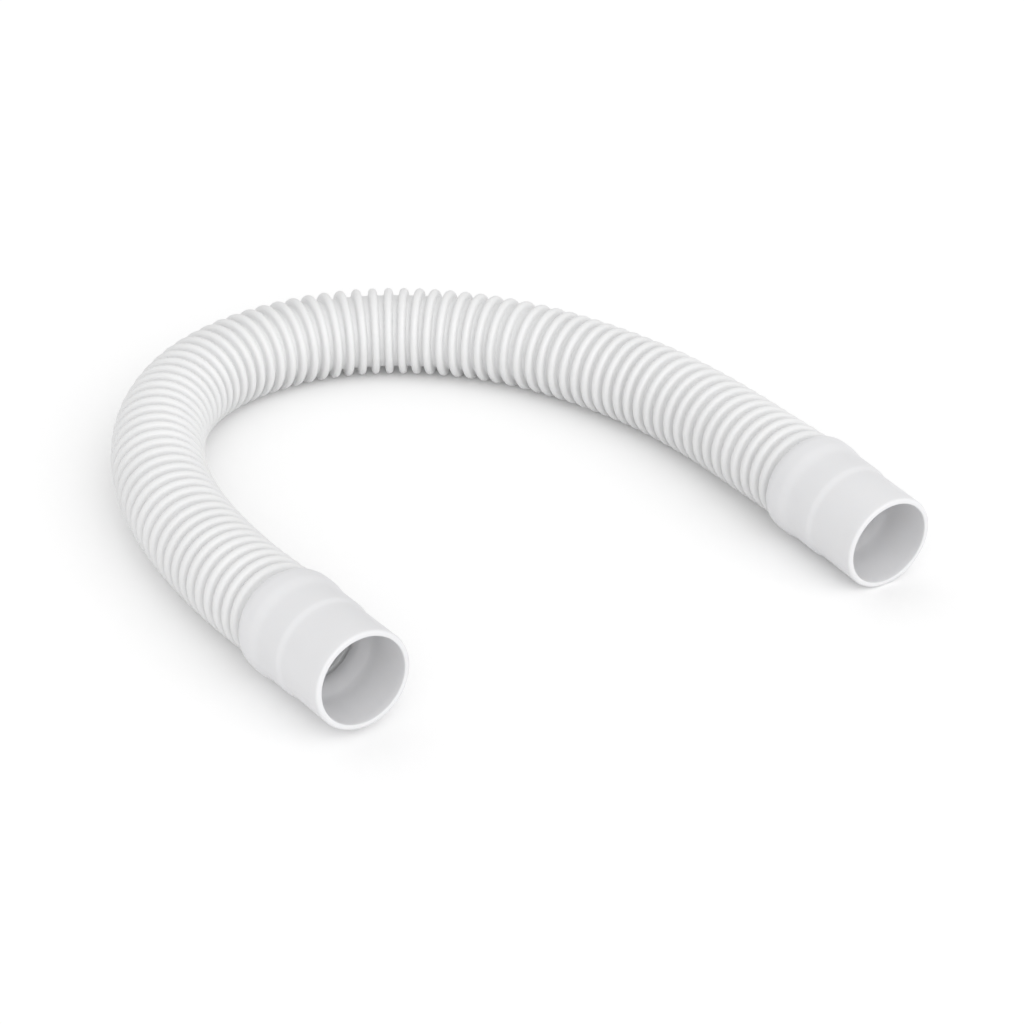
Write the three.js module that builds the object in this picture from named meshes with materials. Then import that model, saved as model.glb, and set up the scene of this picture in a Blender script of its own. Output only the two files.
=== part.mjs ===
// Flexible corrugated hose with a soft cuff pushed over each end, lying in an open loop on a flat surface.
// Millimetres, +Z up. The origin is on that surface, under the middle of the loop.

import * as THREE from 'three';

// Corrugated tube: one wall of even thickness, ribbed inside and out
const CREST_RADIUS = 19;
const RIB_HEIGHT = 3.3;
const RIB_PITCH = 6.7;
const RIB_TOP = 2;
const TUBE_WALL = 0.9;
const TUBE_SIDES = 12;

// How far ribs stand from even spacing where the hose is stretched or squeezed: distance along it, shift
const RIB_SHIFTS = [
  [53, 0], [59, 1.3], [79, -0.5], [100, -2], [116, -2.5], [150, -2.2], [190, 0.2], [225, 1.9],
  [265, 2.5], [320, 2.3], [350, 2.5], [380, 1.7], [408, 1.6], [422, 3.1], [455, 1.9], [490, -0.4],
  [510, 0], [545, 2.1], [565, 1.8], [581, 0.6], [587, 0],
];

// Cuffs: a bore for the tube end that they slip over, a stop behind it, and a socket that grips the hose
const BORE_RADIUS = 17.1;
const BORE_DEPTH = 21.5;
const STOP_SLOPE = 4;
const STOP_LAND = 5.1;
const GRIP_LENGTH = 22.9;
const GRIP_SQUEEZE = 1;
const SLEEVE_WALL = 2.25;
const SHOULDER_SETBACK = 1.7;
const SHOULDER_LENGTH = 3.6;
const MIDDLE_WALL = 1.1;
const BAND_LENGTH = 14;
const BAND_RISE = 4;
const BAND_WALL = 2;
const BAND_ROUND_LENGTH = 5.5;
const RIM_WALL = 0.6;
const MOUTH_ROUND = 0.6;
const MOUTH_BEVEL = 0.4;
const CUFF_SIDES = 36;
const ROUND_STEPS = 3;

// Gap between a cuff and the tube inside it
const CLEARANCE = 0.3;

// Where the two mouths lie, seen from above, and the way in from each, in degrees from +X
const LEFT_MOUTH = { x: -49.6, y: -143.1, heading: 125.7 };
const RIGHT_MOUTH = { x: 145.9, y: -46.4, heading: 121.4 };

// How far the left mouth is held off the surface by the spring of the bend
const LEFT_MOUTH_LIFT = 1.75;

// The middle of the tube from the left cuff to the right one: x, y, and its height above the tube at rest
const LOOP = [
  [-97.5, -77.2, 0.85], [-109.4, -58.8, 0.15], [-120.2, -40.3, 0], [-129.5, -20.8, 0], [-136.8, -0.4, 0],
  [-141.5, 20.7, 0], [-143.2, 42.3, 0], [-140.9, 63.8, 0], [-134.1, 84.3, 0], [-122.3, 102.4, 0],
  [-106.5, 117, 0], [-87.7, 127.8, 0], [-67.1, 134, 0], [-45.5, 135.4, 0], [-24.1, 132.6, 0],
  [-3.4, 126.3, 0], [16.1, 116.9, 0], [34.2, 105, 0], [51, 91.4, 0], [66.6, 76.3, 0],
  [80.7, 59.2, 0.1], [92.9, 40.9, 0.85], [103.8, 22.5, 1.8],
];
const STRAIGHT_STEPS = 4;
const STRAIGHT_PAST_CUFF = 3.5;

// Radii that follow from the sizes above. Flat sides of the tube lie at its true radius.
const tubeCorner = 1 / Math.cos(Math.PI / TUBE_SIDES);
const cuffCorner = 1 / Math.cos(Math.PI / CUFF_SIDES);
const stopRadius = CREST_RADIUS - RIB_HEIGHT - TUBE_WALL;
const socketRadius = ((CREST_RADIUS - GRIP_SQUEEZE) * tubeCorner + CLEARANCE) * cuffCorner;
const sleeveRadius = BORE_RADIUS + SLEEVE_WALL;
const middleRadius = socketRadius + MIDDLE_WALL;
const bandRadius = socketRadius + BAND_WALL;

// Distances along a cuff, all from its mouth. The hose sits on the back of the stop.
const seatDepth = BORE_DEPTH + STOP_SLOPE + STOP_LAND;
const cuffLength = seatDepth + GRIP_LENGTH;
const bandStart = cuffLength - BAND_LENGTH;

// A point on a cuff's axis. The edge of the band that is lower rests on the surface, and the mouth is higher
// than it by the lift, or lower where the lift is negative.
function cuffAxisPoint(mouth, lift, distance) {
  const angle = THREE.MathUtils.degToRad(mouth.heading);
  const restingEdge = lift > 0 ? cuffLength - BAND_ROUND_LENGTH : bandStart + BAND_RISE;
  return new THREE.Vector3(
    mouth.x + distance * Math.cos(angle),
    mouth.y + distance * Math.sin(angle),
    bandRadius + lift * (1 - distance / restingEdge),
  );
}

// The right mouth is let down until its sleeve rests on the surface too
const rightMouthLift = sleeveRadius - bandRadius;

function makeRoute() {
  const straight = cuffLength + STRAIGHT_PAST_CUFF;
  const points = [];
  for (let i = 0; i <= STRAIGHT_STEPS; i++) {
    points.push(cuffAxisPoint(LEFT_MOUTH, LEFT_MOUTH_LIFT, (straight * i) / STRAIGHT_STEPS));
  }
  for (const [x, y, lift] of LOOP) {
    points.push(new THREE.Vector3(x, y, CREST_RADIUS + lift));
  }
  for (let i = STRAIGHT_STEPS; i >= 0; i--) {
    points.push(cuffAxisPoint(RIGHT_MOUTH, rightMouthLift, (straight * i) / STRAIGHT_STEPS));
  }
  const route = new THREE.CatmullRomCurve3(points, false, 'catmullrom', 0.5);
  route.arcLengthDivisions = 3000;
  return route;
}

// A closed skin through a loop of many-sided rings, each at a distance along the route
function makeRingedGeometry(route, rings, sides) {
  const length = route.getLength();
  const up = new THREE.Vector3(0, 0, 1);
  const positions = [];
  for (const ring of rings) {
    const centre = route.getPointAt(ring.distance / length);
    const along = route.getTangentAt(ring.distance / length);
    const across = new THREE.Vector3().crossVectors(up, along).normalize();
    const upright = new THREE.Vector3().crossVectors(along, across);
    for (let k = 0; k < sides; k++) {
      const angle = ((k + 0.5) * 2 * Math.PI) / sides;
      const corner = centre.clone();
      corner.addScaledVector(across, ring.radius * Math.cos(angle));
      corner.addScaledVector(upright, ring.radius * Math.sin(angle));
      positions.push(corner.x, corner.y, corner.z);
    }
  }
  const faces = [];
  for (let j = 0; j < rings.length; j++) {
    const here = j * sides;
    const next = ((j + 1) % rings.length) * sides;
    for (let k = 0; k < sides; k++) {
      const turn = (k + 1) % sides;
      faces.push(here + k, here + turn, next + turn);
      faces.push(here + k, next + turn, next + k);
    }
  }
  const geometry = new THREE.BufferGeometry();
  geometry.setAttribute('position', new THREE.Float32BufferAttribute(positions, 3));
  geometry.setIndex(faces);
  geometry.computeVertexNormals();
  return geometry;
}

// Where the middle of a rib comes that even spacing would put at this distance
function shiftRib(distance) {
  const next = RIB_SHIFTS.findIndex((entry) => entry[0] > distance);
  if (next < 1) return distance;
  const [fromDistance, fromShift] = RIB_SHIFTS[next - 1];
  const [toDistance, toShift] = RIB_SHIFTS[next];
  return distance + THREE.MathUtils.mapLinear(distance, fromDistance, toDistance, fromShift, toShift);
}

// Rings up the outside of the tube, rib by rib, and back down the inside. Each end is the top of a rib, and
// the ribs that a cuff grips are pressed lower.
function makeTube(route) {
  const length = route.getLength();
  const first = seatDepth + CLEARANCE + RIB_TOP / 2;
  const last = length - first;
  const gaps = Math.round((last - first) / RIB_PITCH);
  const pitch = (last - first) / gaps;
  const groove = (CREST_RADIUS - RIB_HEIGHT) * tubeCorner;
  const wall = TUBE_WALL * tubeCorner;
  const outside = [];
  const inside = [];
  for (let rib = 0; rib <= gaps; rib++) {
    const even = first + rib * pitch;
    const middle = shiftRib(even);
    const gripped = even - pitch / 2 < cuffLength || even + pitch / 2 > length - cuffLength;
    const crest = (CREST_RADIUS - (gripped ? GRIP_SQUEEZE : 0)) * tubeCorner;
    outside.push({ distance: middle - RIB_TOP / 2, radius: crest });
    outside.push({ distance: middle + RIB_TOP / 2, radius: crest });
    let pocket = middle;
    if (rib === 0) pocket -= RIB_TOP / 2;
    if (rib === gaps) pocket += RIB_TOP / 2;
    inside.push({ distance: pocket, radius: crest - wall });
    if (rib < gaps) {
      const hollow = (middle + shiftRib(even + pitch)) / 2;
      outside.push({ distance: hollow, radius: groove });
      inside.push({ distance: hollow, radius: groove - wall });
    }
  }
  return makeRingedGeometry(route, [...outside, ...inside.reverse()], TUBE_SIDES);
}

// A soft rise from one radius to another along the cuff
function addRise(profile, start, length, fromRadius, toRadius) {
  for (let i = 0; i <= ROUND_STEPS; i++) {
    const share = i / ROUND_STEPS;
    const eased = (1 - Math.cos(Math.PI * share)) / 2;
    profile.push(new THREE.Vector2(fromRadius + (toRadius - fromRadius) * eased, start + length * share));
  }
}

// Section of a cuff, radius against distance from the mouth: up the outside and back down the bore
function makeCuff() {
  const profile = [new THREE.Vector2(BORE_RADIUS + MOUTH_BEVEL, 0)];
  for (let i = 0; i <= ROUND_STEPS; i++) {
    const angle = (i / ROUND_STEPS) * (Math.PI / 2);
    const radius = sleeveRadius - MOUTH_ROUND * (1 - Math.sin(angle));
    profile.push(new THREE.Vector2(radius, MOUTH_ROUND * (1 - Math.cos(angle))));
  }
  addRise(profile, BORE_DEPTH + SHOULDER_SETBACK, SHOULDER_LENGTH, sleeveRadius, middleRadius);
  addRise(profile, bandStart, BAND_RISE, middleRadius, bandRadius);
  for (let i = 0; i <= ROUND_STEPS; i++) {
    const angle = (i / ROUND_STEPS) * (Math.PI / 2);
    const radius = bandRadius - (BAND_WALL - RIM_WALL) * (1 - Math.cos(angle));
    profile.push(new THREE.Vector2(radius, cuffLength - BAND_ROUND_LENGTH * (1 - Math.sin(angle))));
  }
  profile.push(new THREE.Vector2(socketRadius, cuffLength));
  profile.push(new THREE.Vector2(socketRadius, seatDepth));
  profile.push(new THREE.Vector2(stopRadius, seatDepth));
  profile.push(new THREE.Vector2(stopRadius, BORE_DEPTH + STOP_SLOPE));
  profile.push(new THREE.Vector2(BORE_RADIUS, BORE_DEPTH));
  profile.push(new THREE.Vector2(BORE_RADIUS, MOUTH_BEVEL));
  profile.push(profile[0].clone());
  return new THREE.LatheGeometry(profile, CUFF_SIDES);
}

function placeCuff(mesh, mouth, lift) {
  const start = cuffAxisPoint(mouth, lift, 0);
  const inward = cuffAxisPoint(mouth, lift, cuffLength).sub(start).normalize();
  mesh.position.copy(start);
  mesh.quaternion.setFromUnitVectors(new THREE.Vector3(0, 1, 0), inward);
}

// Soft white plastic, satin on the tube and a little smoother on the cuffs
const tubePlastic = new THREE.MeshStandardMaterial({ color: 0xf0efec, roughness: 0.42, metalness: 0 });
const leftPlastic = new THREE.MeshStandardMaterial({ color: 0xecebe8, roughness: 0.38, metalness: 0 });
const rightPlastic = new THREE.MeshStandardMaterial({ color: 0xecebe8, roughness: 0.38, metalness: 0 });

const tube = new THREE.Mesh(makeTube(makeRoute()), tubePlastic);
tube.name = 'corrugated_tube';

const leftCuff = new THREE.Mesh(makeCuff(), leftPlastic);
leftCuff.name = 'left_cuff';
placeCuff(leftCuff, LEFT_MOUTH, LEFT_MOUTH_LIFT);

const rightCuff = new THREE.Mesh(makeCuff(), rightPlastic);
rightCuff.name = 'right_cuff';
placeCuff(rightCuff, RIGHT_MOUTH, rightMouthLift);

const hose = new THREE.Group();
hose.add(tube, leftCuff, rightCuff);

export default hose;
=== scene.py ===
"""Flexible corrugated hose with a soft cuff at each end, lying in an open loop on a pale floor."""
import bisect
import math

import bpy
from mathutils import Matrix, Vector


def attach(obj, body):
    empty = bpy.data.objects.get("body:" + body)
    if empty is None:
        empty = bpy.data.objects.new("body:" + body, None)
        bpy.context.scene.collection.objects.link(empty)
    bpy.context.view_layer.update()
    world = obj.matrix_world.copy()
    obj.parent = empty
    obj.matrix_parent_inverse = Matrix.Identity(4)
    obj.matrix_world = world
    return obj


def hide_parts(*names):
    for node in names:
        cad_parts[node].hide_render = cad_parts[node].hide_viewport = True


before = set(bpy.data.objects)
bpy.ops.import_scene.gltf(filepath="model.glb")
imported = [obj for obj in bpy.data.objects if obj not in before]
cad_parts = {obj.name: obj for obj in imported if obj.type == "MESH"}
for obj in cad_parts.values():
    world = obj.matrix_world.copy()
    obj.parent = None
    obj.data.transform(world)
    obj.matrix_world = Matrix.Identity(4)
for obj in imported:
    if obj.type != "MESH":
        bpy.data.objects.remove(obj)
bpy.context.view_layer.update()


# The camera
# It looks along +Y and down at the loop, from about a metre away, as the hose was photographed.
DOWN_ANGLE = 30.81
camera_data = bpy.data.cameras.new("camera")
camera_data.sensor_width = 36.0
camera_data.lens = 86.98
camera_data.clip_start = 0.05
camera_data.clip_end = 30.0
camera = bpy.data.objects.new("camera", camera_data)
camera.location = (0.00175, -0.85138, 0.51354)
camera.rotation_euler = (math.radians(90 - DOWN_ANGLE), 0, 0)
bpy.context.collection.objects.link(camera)
bpy.context.scene.camera = camera


# The hose's route
# One smooth line runs through both cuffs and the tube. It is straight in the cuffs and for a little way past
# them, and between them the tube lies on the floor in an open loop.
CREST_RADIUS = 0.019
CUFF_LENGTH = 0.0535
SLEEVE_RADIUS = 0.01935
BAND_RADIUS = 0.021
BAND_FRONT = 0.0435
BAND_BACK = 0.048

# Where the mouths lie, seen from above, and the way in from each, in degrees from +X
LEFT_MOUTH = {"x": -0.0496, "y": -0.1431, "heading": 125.7}
RIGHT_MOUTH = {"x": 0.1459, "y": -0.0464, "heading": 121.4}

# The spring of the bend holds the left mouth off the floor. The right sleeve rests on it.
LEFT_MOUTH_LIFT = 0.00175
RIGHT_MOUTH_LIFT = SLEEVE_RADIUS - BAND_RADIUS

# The middle of the tube between the cuffs: x, y, and its height above the tube at rest
LOOP = [
    (-0.0975, -0.0772, 0.00085), (-0.1094, -0.0588, 0.00015), (-0.1202, -0.0403, 0), (-0.1295, -0.0208, 0),
    (-0.1368, -0.0004, 0), (-0.1415, 0.0207, 0), (-0.1432, 0.0423, 0), (-0.1409, 0.0638, 0),
    (-0.1341, 0.0843, 0), (-0.1223, 0.1024, 0), (-0.1065, 0.117, 0), (-0.0877, 0.1278, 0),
    (-0.0671, 0.134, 0), (-0.0455, 0.1354, 0), (-0.0241, 0.1326, 0), (-0.0034, 0.1263, 0),
    (0.0161, 0.1169, 0), (0.0342, 0.105, 0), (0.051, 0.0914, 0), (0.0666, 0.0763, 0),
    (0.0807, 0.0592, 0.0001), (0.0929, 0.0409, 0.00085), (0.1038, 0.0225, 0.0018),
]
STRAIGHT_STEPS = 4
STRAIGHT_PAST_CUFF = 0.0035
SAMPLES_PER_SPAN = 60
DIRECTION_REACH = 0.002


def cuff_axis_point(mouth, lift, distance):
    """A point on a cuff's axis. The lower edge of its band rests on the floor."""
    angle = math.radians(mouth["heading"])
    resting_edge = BAND_BACK if lift > 0 else BAND_FRONT
    return Vector((
        mouth["x"] + distance * math.cos(angle),
        mouth["y"] + distance * math.sin(angle),
        BAND_RADIUS + lift * (1 - distance / resting_edge),
    ))


def route_points():
    """The points that the route goes through, from the left mouth to the right one."""
    straight = CUFF_LENGTH + STRAIGHT_PAST_CUFF
    steps = [straight * i / STRAIGHT_STEPS for i in range(STRAIGHT_STEPS + 1)]
    left = [cuff_axis_point(LEFT_MOUTH, LEFT_MOUTH_LIFT, d) for d in steps]
    right = [cuff_axis_point(RIGHT_MOUTH, RIGHT_MOUTH_LIFT, d) for d in reversed(steps)]
    return left + [Vector((x, y, CREST_RADIUS + lift)) for x, y, lift in LOOP] + right


def sample_route(points):
    """Fine samples of the smooth curve through the points, each with its distance from the left mouth."""
    points = [2 * points[0] - points[1], *points, 2 * points[-1] - points[-2]]
    samples = []
    for a, b, c, d in zip(points, points[1:], points[2:], points[3:]):
        for i in range(SAMPLES_PER_SPAN):
            t = i / SAMPLES_PER_SPAN
            samples.append(0.5 * (2 * b + (c - a) * t + (2 * a - 5 * b + 4 * c - d) * t**2
                                  + (3 * b - a - 3 * c + d) * t**3))
    samples.append(points[-2])
    distances = [0.0]
    for here, after in zip(samples, samples[1:]):
        distances.append(distances[-1] + (after - here).length)
    return samples, distances


route, route_distances = sample_route(route_points())
route_length = route_distances[-1]


def route_at(distance):
    """The point on the route at that distance from the left mouth."""
    low = min(max(bisect.bisect_right(route_distances, distance) - 1, 0), len(route) - 2)
    span = route_distances[low + 1] - route_distances[low]
    return route[low].lerp(route[low + 1], (distance - route_distances[low]) / span)


def frame_at(distance):
    """A point on the route, with the directions across, upright and along there."""
    along = (route_at(distance + DIRECTION_REACH) - route_at(distance - DIRECTION_REACH)).normalized()
    across = Vector((0, 0, 1)).cross(along).normalized()
    return route_at(distance), across, along.cross(across), along


def circle(centre, across, upright, radius, sides, first):
    """Points round a circle, the first of them that share of a step past the direction across."""
    points = []
    for k in range(sides):
        angle = (k + first) * 2 * math.pi / sides
        points.append(centre + across * (radius * math.cos(angle)) + upright * (radius * math.sin(angle)))
    return points


def skin_mesh(name, circles, sharp_angle):
    """A smooth skin through circles of points, each joined to the next one and the last to the first."""
    sides = len(circles[0])
    faces = []
    for j in range(len(circles)):
        here, after = j * sides, (j + 1) % len(circles) * sides
        for k in range(sides):
            turn = (k + 1) % sides
            faces.append((here + k, here + turn, after + turn, after + k))
    mesh = bpy.data.meshes.new(name)
    mesh.from_pydata([point for points in circles for point in points], [], faces)
    mesh.shade_smooth()
    mesh.set_sharp_from_angle(angle=math.radians(sharp_angle))
    mesh.update()
    return mesh


# The corrugated tube
# The real one is a thin wall of soft white PVC, drawn through travelling moulds into separate round ribs. The
# ribs stay stiff rings, and the hose bends in the hollows between them, which open outside a bend and close
# inside it. The two ends are pushed into the cuffs, which press their ribs a little lower.
RIB_HEIGHT = 0.0033
RIB_PITCH = 0.0067
TUBE_WALL = 0.0009
TUBE_END = 0.0309
END_RIB_HALF = 0.001
END_RIB_DROP = 0.0002
GRIP_SQUEEZE = 0.001
TUBE_SIDES = 48
PATH_STEPS = 110

# How far ribs stand from even spacing where the hose is stretched or squeezed: distance along it, shift
RIB_SHIFTS = [
    (0.053, 0), (0.059, 0.0013), (0.079, -0.0005), (0.1, -0.002), (0.116, -0.0025), (0.15, -0.0022),
    (0.19, 0.0002), (0.225, 0.0019), (0.265, 0.0025), (0.32, 0.0023), (0.35, 0.0025), (0.38, 0.0017),
    (0.408, 0.0016), (0.422, 0.0031), (0.455, 0.0019), (0.49, -0.0004), (0.51, 0), (0.545, 0.0021),
    (0.565, 0.0018), (0.581, 0.0006), (0.587, 0),
]

# A rib's section: a round top, a steep flank, a small round at its foot, and a flat hollow for the rest
TIP_RADIUS = 0.00185
TIP_STEPS = 4
FLANK_ANGLE = math.radians(85)
FLANK_WIDTH = 0.0001
FOOT_RADIUS = 0.0007
FOOT_STEPS = 2

# The narrow pocket that the rib makes inside the tube: offset, share of the rib's height
POCKET = [(0, 0), (0.0009, 0.16), (0.0013, 0.82)]

first_rib = TUBE_END + END_RIB_HALF
last_rib = route_length - first_rib
gaps = round((last_rib - first_rib) / RIB_PITCH)
pitch = (last_rib - first_rib) / gaps


def rib_shift(distance):
    """How far the rib that even spacing would put there is moved along the hose."""
    for (start, start_shift), (end, end_shift) in zip(RIB_SHIFTS, RIB_SHIFTS[1:]):
        if start <= distance < end:
            return start_shift + (end_shift - start_shift) * (distance - start) / (end - start)
    return 0


def rib_crest(even):
    """The radius of the rib that even spacing would put there."""
    gripped = even - pitch / 2 < CUFF_LENGTH or even + pitch / 2 > route_length - CUFF_LENGTH
    return CREST_RADIUS - (GRIP_SQUEEZE if gripped else 0)


even_places = [first_rib + rib * pitch for rib in range(gaps + 1)]
rib_places = [even + rib_shift(even) for even in even_places]
rib_crests = [rib_crest(even) for even in even_places]
rib_frames = [frame_at(place) for place in rib_places]


def outer_half(half_gap):
    """(offset, share of the rib's height) from a rib's top down to the middle of the hollow beside it."""
    points = []
    for i in range(TIP_STEPS + 1):
        angle = FLANK_ANGLE * i / TIP_STEPS
        points.append((TIP_RADIUS * math.sin(angle), TIP_RADIUS * (1 - math.cos(angle)) / RIB_HEIGHT))
    foot = points[-1][0] + FLANK_WIDTH + FOOT_RADIUS * math.sin(FLANK_ANGLE)
    for i in range(FOOT_STEPS + 1):
        angle = FLANK_ANGLE * (1 - i / FOOT_STEPS)
        points.append((foot - FOOT_RADIUS * math.sin(angle), 1 - FOOT_RADIUS * (1 - math.cos(angle)) / RIB_HEIGHT))
    points.append((half_gap, 1))
    return points


def inner_half(half_gap):
    """The same inside the tube."""
    return [*POCKET, (half_gap, 1)]


def ring_points(rib, other, offset, radius):
    """One ring of the tube, offset from a rib towards the other. Ribs are stiff rings, and between two of them
    the wall swings from the direction of the one to that of the other, half of the way by the middle."""
    centre, across, upright, along = rib_frames[rib]
    other_centre, other_across, other_upright, other_along = rib_frames[other]
    side = 1 if other > rib else -1
    gap = abs(rib_places[other] - rib_places[rib])
    swing = 2 * (offset / gap)**2
    middle = (centre + side * offset * along).lerp(other_centre - side * (gap - offset) * other_along, swing)
    sideways = across.lerp(other_across, swing).normalized()
    up = upright.lerp(other_upright, swing).normalized()
    return circle(middle, sideways, up, radius, TUBE_SIDES, 0.5)


def rib_rings(half_section, wall):
    """Rings from the first rib's top to the last one's, down into each hollow and up again."""
    rings = []
    for rib in range(gaps):
        half_gap = (rib_places[rib + 1] - rib_places[rib]) / 2
        section = half_section(half_gap)
        for offset, depth in section:
            radius = rib_crests[rib] - depth * (rib_crests[rib] - CREST_RADIUS + RIB_HEIGHT)
            rings.append(ring_points(rib, rib + 1, offset, radius - wall))
        for offset, depth in section[-2:0:-1]:
            radius = rib_crests[rib + 1] - depth * (rib_crests[rib + 1] - CREST_RADIUS + RIB_HEIGHT)
            rings.append(ring_points(rib + 1, rib, offset, radius - wall))
    rings.append(ring_points(gaps, gaps - 1, 0, rib_crests[gaps] - wall))
    return rings


def end_ring(rib, side, wall):
    """The cut end of the tube, just past the middle of its last rib."""
    centre, across, upright, along = rib_frames[rib]
    cut = centre + along * (side * END_RIB_HALF)
    return circle(cut, across, upright, rib_crests[rib] - END_RIB_DROP - wall, TUBE_SIDES, 0.5)


def tube_mesh():
    """Outer rings along the tube and inner rings back, closed at both cut ends."""
    outer = [end_ring(0, -1, 0), *rib_rings(outer_half, 0), end_ring(gaps, 1, 0)]
    inner = [end_ring(0, -1, TUBE_WALL), *rib_rings(inner_half, TUBE_WALL), end_ring(gaps, 1, TUBE_WALL)]
    return skin_mesh("corrugated_hose", outer + inner[::-1], 60)


def soft_white_pvc(name, colour, roughness, grain):
    """Satin white PVC: a faint drift of tone, fine mould grain, and a little light carried under the skin."""
    material = bpy.data.materials.new(name)
    material.use_nodes = True
    nodes, links = material.node_tree.nodes, material.node_tree.links
    place = nodes.new("ShaderNodeTexCoord")
    shader = nodes["Principled BSDF"]
    shader.inputs["Specular IOR Level"].default_value = 0.5
    shader.inputs["IOR"].default_value = 1.53
    shader.inputs["Subsurface Weight"].default_value = 0.12
    shader.inputs["Subsurface Radius"].default_value = (0.003, 0.0028, 0.0026)
    shader.inputs["Subsurface Scale"].default_value = 1.0

    def noise(patch, detail):
        """Noise with patches of about that many metres."""
        texture = nodes.new("ShaderNodeTexNoise")
        texture.inputs["Scale"].default_value = 1 / patch
        texture.inputs["Detail"].default_value = detail
        links.new(place.outputs["Object"], texture.inputs["Vector"])
        return texture.outputs["Fac"]

    tone = nodes.new("ShaderNodeValToRGB")
    tone.color_ramp.elements[0].position = 0.3
    tone.color_ramp.elements[0].color = (*[c * 0.975 for c in colour], 1)
    tone.color_ramp.elements[1].position = 0.7
    tone.color_ramp.elements[1].color = (*[c * 1.012 for c in colour], 1)
    links.new(noise(1 / 28, 3.0), tone.inputs["Fac"])
    links.new(tone.outputs["Color"], shader.inputs["Base Color"])

    sheen = nodes.new("ShaderNodeMapRange")
    sheen.inputs["To Min"].default_value = roughness - 0.05
    sheen.inputs["To Max"].default_value = roughness + 0.05
    links.new(noise(1 / 160, 2.0), sheen.inputs["Value"])
    links.new(sheen.outputs["Result"], shader.inputs["Roughness"])

    bump = nodes.new("ShaderNodeBump")
    bump.inputs["Strength"].default_value = 0.12
    bump.inputs["Distance"].default_value = 0.00008
    links.new(noise(grain, 2.0), bump.inputs["Height"])
    links.new(bump.outputs["Normal"], shader.inputs["Normal"])
    return material


hose_tube = bpy.data.objects.new("corrugated_hose", tube_mesh())
hose_tube.data.materials.append(soft_white_pvc("tube_pvc", (0.82, 0.82, 0.82), 0.42, 0.0006))
bpy.context.collection.objects.link(hose_tube)
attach(hose_tube, "root")
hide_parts("corrugated_tube")


# The two cuffs
# Each is one piece of softer white PVC, moulded hollow and pushed over the end of the tube. Its mouth is a plain
# sleeve with a bore that ends on a sloping stop. Behind a soft shoulder and a low band it grips the first ribs.
BORE_RADIUS = 0.0171
BORE_DEPTH = 0.0215
STOP_RADIUS = 0.0148
STOP_SLOPE = 0.0065
STOP_STEPS = 6
SEAT_DEPTH = 0.0306
SOCKET_RADIUS = 0.0188
MIDDLE_RADIUS = 0.0201
RIM_RADIUS = 0.0190
LIP_RADIUS = 0.0174
LIP_ROUND = 0.0007
SHOULDER_START = 0.0229
SHOULDER_LENGTH = 0.004
BAND_START = 0.0375
BAND_RISE = 0.0075
RISE_STEPS = 12
MOUTH_ROUND = 0.0011
MOUTH_BEVEL = 0.0005
CUFF_SIDES = 160

# Extra circles on the straight stretches, which keep the shading of the rounds next to them short
BORE_CIRCLES = (0.008, 0.014)
SLEEVE_CIRCLE = 0.004
BESIDE_ROUND = 0.003
BESIDE_STOP = 0.001


def rise(start, length, low, high):
    """A soft rise from one radius to another along the cuff."""
    points = []
    for i in range(RISE_STEPS + 1):
        share = i / RISE_STEPS
        points.append((low + (high - low) * (1 - math.cos(math.pi * share)) / 2, start + length * share))
    return points


def quarter_turn(steps):
    """The angles of a quarter turn in even steps, both ends with them."""
    return [i / steps * math.pi / 2 for i in range(steps + 1)]


def cuff_profile():
    """The cuff's section: radius and distance from the mouth, up the outside and back down the bore."""
    profile = [(BORE_RADIUS, BORE_CIRCLES[0]), (BORE_RADIUS, BESIDE_ROUND)]
    for angle in quarter_turn(4):
        profile.append((BORE_RADIUS + MOUTH_BEVEL * (1 - math.cos(angle)), MOUTH_BEVEL * (1 - math.sin(angle))))
    for angle in quarter_turn(6):
        profile.append((SLEEVE_RADIUS - MOUTH_ROUND * (1 - math.sin(angle)), MOUTH_ROUND * (1 - math.cos(angle))))
    profile += [(SLEEVE_RADIUS, SLEEVE_CIRCLE), (SLEEVE_RADIUS, SHOULDER_START - BESIDE_ROUND)]
    profile += rise(SHOULDER_START, SHOULDER_LENGTH, SLEEVE_RADIUS, MIDDLE_RADIUS)
    profile.append((MIDDLE_RADIUS, SHOULDER_START + SHOULDER_LENGTH + BESIDE_ROUND))
    profile.append((MIDDLE_RADIUS, BAND_START - BESIDE_ROUND))
    profile += rise(BAND_START, BAND_RISE, MIDDLE_RADIUS, BAND_RADIUS)
    lip_start = CUFF_LENGTH - LIP_ROUND
    for angle in quarter_turn(12):
        radius = BAND_RADIUS - (BAND_RADIUS - RIM_RADIUS) * (1 - math.cos(angle))
        profile.append((radius, lip_start - (lip_start - BAND_BACK) * (1 - math.sin(angle))))
    for angle in quarter_turn(5)[1:]:
        profile.append((RIM_RADIUS - LIP_ROUND * (1 - math.cos(angle)), lip_start + LIP_ROUND * math.sin(angle)))
    profile += [(LIP_RADIUS, CUFF_LENGTH), (SOCKET_RADIUS, lip_start - LIP_ROUND)]
    profile += [(SOCKET_RADIUS, SEAT_DEPTH), (STOP_RADIUS, SEAT_DEPTH)]
    profile += [(STOP_RADIUS, SEAT_DEPTH - BESIDE_STOP), (STOP_RADIUS, BORE_DEPTH + STOP_SLOPE + BESIDE_STOP)]
    for i in range(1, STOP_STEPS):
        share = i / STOP_STEPS
        profile.append((STOP_RADIUS + (BORE_RADIUS - STOP_RADIUS) * share, BORE_DEPTH + STOP_SLOPE * (1 - share)))
    profile += [(BORE_RADIUS, BORE_DEPTH), (BORE_RADIUS, BORE_DEPTH - BESIDE_ROUND), (BORE_RADIUS, BORE_CIRCLES[1])]
    return profile


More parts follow.
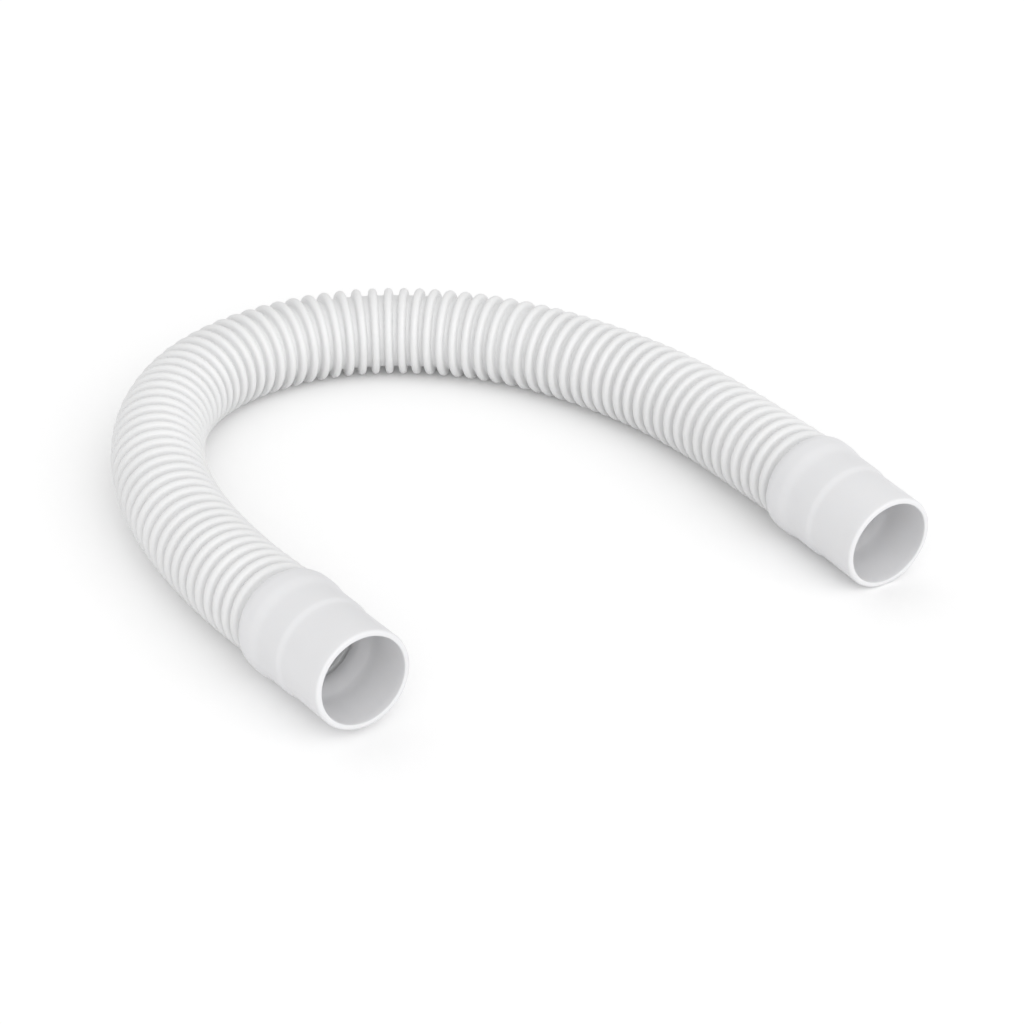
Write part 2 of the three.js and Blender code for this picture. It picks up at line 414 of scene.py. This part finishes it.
def make_cuff(name, node, mouth, lift):
    """The section turned about the cuff's axis, with its mouth at the given place."""
    start = cuff_axis_point(mouth, lift, 0)
    along = (cuff_axis_point(mouth, lift, CUFF_LENGTH) - start).normalized()
    across = Vector((0, 0, 1)).cross(along).normalized()
    upright = along.cross(across)
    circles = [
        circle(start + along * distance, across, upright, radius, CUFF_SIDES, 0)
        for radius, distance in cuff_profile()
    ]
    cuff = bpy.data.objects.new(name, skin_mesh(name, circles, 50))
    cuff.data.materials.append(cuff_pvc)
    bpy.context.collection.objects.link(cuff)
    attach(cuff, "root")
    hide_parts(node)
    return cuff


cuff_pvc = soft_white_pvc("cuff_pvc", (0.797, 0.797, 0.808), 0.38, 0.0009)
make_cuff("left_hose_end", "left_cuff", LEFT_MOUTH, LEFT_MOUTH_LIFT)
right_end = make_cuff("right_hose_end", "right_cuff", RIGHT_MOUTH, RIGHT_MOUTH_LIFT)

tube_length = route_length - 2 * TUBE_END
tuple(route_at(TUBE_END))
[tuple(route_at(TUBE_END + tube_length * i / PATH_STEPS)) for i in range(PATH_STEPS + 1)]


# The floor
# A plain white sheet, larger than the view. To the camera it is nearly white by itself, and it keeps the hose's
# soft shadow.
FLOOR_HALF = 12.0
floor_mesh = bpy.data.meshes.new("floor")
floor_corners = [(x * FLOOR_HALF, y * FLOOR_HALF, 0) for x, y in ((-1, -1), (1, -1), (1, 1), (-1, 1))]
floor_mesh.from_pydata(floor_corners, [], [(0, 1, 2, 3)])
floor = bpy.data.objects.new("floor", floor_mesh)
bpy.context.collection.objects.link(floor)


def white_paper():
    """Matt white paper. Rays that are seen find it a little brighter, so that its open part is white."""
    paper = bpy.data.materials.new("white_paper")
    paper.use_nodes = True
    nodes, links = paper.node_tree.nodes, paper.node_tree.links
    matt = nodes["Principled BSDF"]
    matt.inputs["Base Color"].default_value = (0.86, 0.86, 0.86, 1)
    matt.inputs["Roughness"].default_value = 0.9
    matt.inputs["Specular IOR Level"].default_value = 0.0

    seen_paper = nodes.new("ShaderNodeBsdfDiffuse")
    seen_paper.inputs["Color"].default_value = (0.98, 0.98, 0.98, 1)
    lift = nodes.new("ShaderNodeEmission")
    lift.inputs["Strength"].default_value = 0.07
    lifted = nodes.new("ShaderNodeAddShader")
    links.new(seen_paper.outputs["BSDF"], lifted.inputs[0])
    links.new(lift.outputs["Emission"], lifted.inputs[1])

    rays = nodes.new("ShaderNodeLightPath")
    seen = rays.outputs["Is Camera Ray"]
    for other_ray in ("Is Glossy Ray", "Is Transmission Ray"):
        either = nodes.new("ShaderNodeMath")
        either.operation = "MAXIMUM"
        links.new(seen, either.inputs[0])
        links.new(rays.outputs[other_ray], either.inputs[1])
        seen = either.outputs["Value"]
    mix = nodes.new("ShaderNodeMixShader")
    links.new(seen, mix.inputs["Fac"])
    links.new(matt.outputs["BSDF"], mix.inputs[1])
    links.new(lifted.outputs["Shader"], mix.inputs[2])
    links.new(mix.outputs["Shader"], nodes["Material Output"].inputs["Surface"])
    return paper


floor.data.materials.append(white_paper())


# The light
# A white room all round, one broad soft lamp in front of the hose on the right, and a lower one before it.
LAMP_WIDTH = math.radians(60)
world = bpy.data.worlds.new("white_room")
world.use_nodes = True
world.node_tree.nodes["Background"].inputs["Color"].default_value = (1, 1, 1, 1)
world.node_tree.nodes["Background"].inputs["Strength"].default_value = 0.76
bpy.context.scene.world = world


def broad_lamp(name, towards, energy):
    """A distant lamp with a very wide face, so that its shadows are soft."""
    data = bpy.data.lights.new(name, "SUN")
    data.energy = energy
    data.angle = LAMP_WIDTH
    lamp = bpy.data.objects.new(name, data)
    lamp.rotation_euler = Vector(towards).to_track_quat("Z", "Y").to_euler()
    bpy.context.collection.objects.link(lamp)


broad_lamp("right_lamp", (0.5, -0.6, 0.6), 0.75)
broad_lamp("front_lamp", (0.1, -0.9, 0.45), 0.57)

bpy.context.scene.view_settings.view_transform = "Standard"
